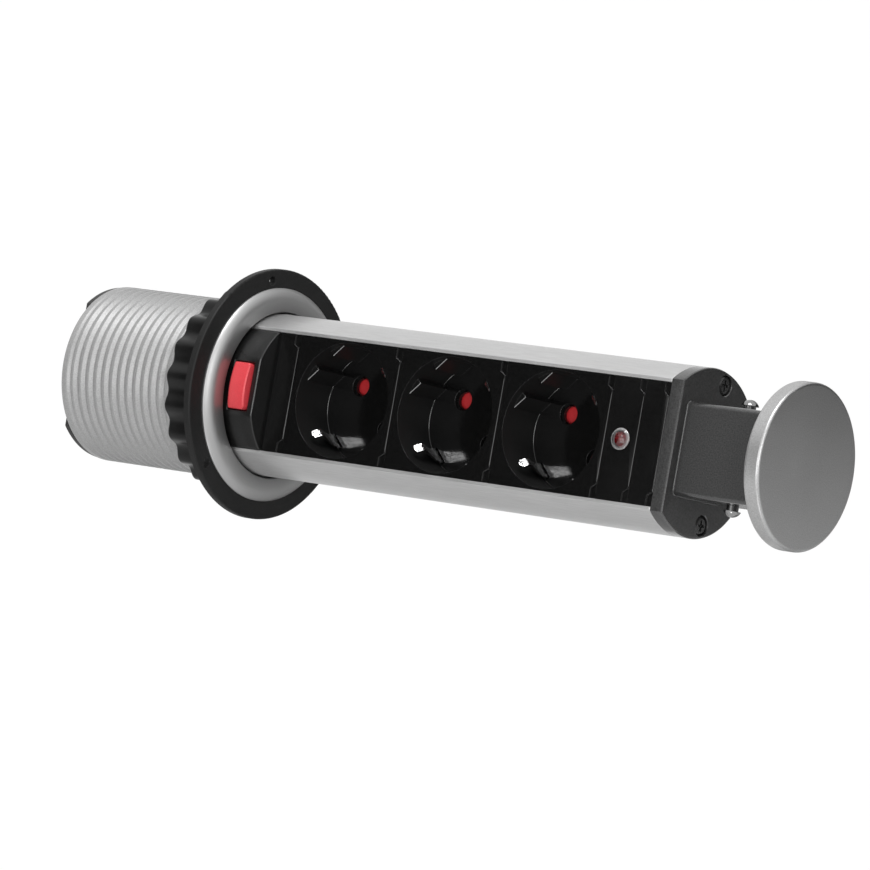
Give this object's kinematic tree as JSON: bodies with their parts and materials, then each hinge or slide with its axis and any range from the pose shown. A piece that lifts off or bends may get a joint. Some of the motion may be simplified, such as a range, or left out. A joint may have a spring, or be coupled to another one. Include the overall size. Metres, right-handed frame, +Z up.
{
  "type": "pop up desk socket",
  "caption": "Round socket tower that slides up through a threaded desk tube, with recessed earthed sockets on its flat front, a latch button, a lamp and a pull disc on top.",
  "frame": {"origin": "on the tube's axis, in the plane of the flange's underside, where the part sits on the desk", "axes": "+Z up along the tube's axis, sockets facing -Y, +X to the right seen from the front"},
  "size_m": [0.0838, 0.0838, 0.2908],
  "materials": {
    "silver_plastic": "satin silver paint on plastic",
    "silver_metal": "bead blasted satin",
    "black_matte": "fine matte",
    "black_gloss": "semi gloss",
    "rubber_black": "matte",
    "aluminium": "brushed along its length, clear anodised",
    "black_screw": "black oxide",
    "bright_screw": "polished",
    "red_plastic": "semi gloss",
    "shutter_red": "satin",
    "spring_steel": "bright",
    "brass": "bright",
    "clear_lens": "clear",
    "red_lamp": "clear red"
  },
  "bodies": {
    "housing": {"threaded_tube": "silver_plastic", "desk_flange": "black_matte", "rim_ring": "silver_plastic"},
    "washer": {"clamp_washer": "rubber_black"},
    "nut": {"clamp_nut": "black_matte"},
    "column": {"profile": "aluminium", "end_cap": "black_matte", "end_screws": "black_screw", "pull_disc": "silver_metal", "neck_screws": "bright_screw", "guide_block": "black_matte", "latch_spring": "spring_steel", "latch_back": "black_matte", "lower_spacer": "black_gloss", "socket_1": "black_gloss", "socket_2": "black_gloss", "socket_3": "black_gloss", "earth_clip_1": "spring_steel", "earth_clip_2": "spring_steel", "earth_clip_3": "spring_steel", "socket_back_1": "black_matte", "socket_back_2": "black_matte", "socket_back_3": "black_matte", "line_bar": "brass", "neutral_bar": "brass", "earth_bar": "brass", "led_spacer": "black_gloss", "led_lens": "clear_lens", "indicator_bulb": "red_lamp", "upper_spacer": "black_gloss", "bottom_cap": "black_matte", "bottom_screws": "black_screw", "cord_inlet": "rubber_black"},
    "latch": {"latch_button": "red_plastic"},
    "shutter_low": {"shutter_1": "shutter_red"},
    "shutter_mid": {"shutter_2": "shutter_red"},
    "shutter_top": {"shutter_3": "shutter_red"}
  },
  "joints": [
    {"name": "column_slide", "type": "slide", "parent": "housing", "child": "column", "axis": [0, 0, 1], "range_m": [-0.2149, 0]},
    {"name": "latch_press", "type": "slide", "parent": "column", "child": "latch", "axis": [0, 1, 0], "range_m": [0, 0.0025], "stiffness_N_per_m": 600, "deforming": ["latch_spring"]},
    {"name": "washer_slide", "type": "slide", "parent": "housing", "child": "washer", "axis": [0, 0, 1], "range_m": [-0.0421, 0]},
    {"name": "nut_turn", "type": "hinge", "parent": "washer", "child": "nut", "pos_m": [0, 0, -0.0093], "axis": [0, 0, 1], "range_deg": [-4320, 0]},
    {"name": "shutter_turn_low", "type": "hinge", "parent": "column", "child": "shutter_low", "pos_m": [0, 0.00345, 0.0463], "axis": [0, 1, 0], "range_deg": [0, 45], "stiffness_Nm_per_rad": 0.005},
    {"name": "shutter_turn_mid", "type": "hinge", "parent": "column", "child": "shutter_mid", "pos_m": [0, 0.00345, 0.0893], "axis": [0, 1, 0], "range_deg": [0, 45], "stiffness_Nm_per_rad": 0.005},
    {"name": "shutter_turn_top", "type": "hinge", "parent": "column", "child": "shutter_top", "pos_m": [0, 0.00345, 0.1323], "axis": [0, 1, 0], "range_deg": [0, 45], "stiffness_Nm_per_rad": 0.005}
  ],
  "couplings": [
    {"joint": "washer_slide", "follows": "nut_turn", "m_per_rad": 0.00055704}
  ]
}
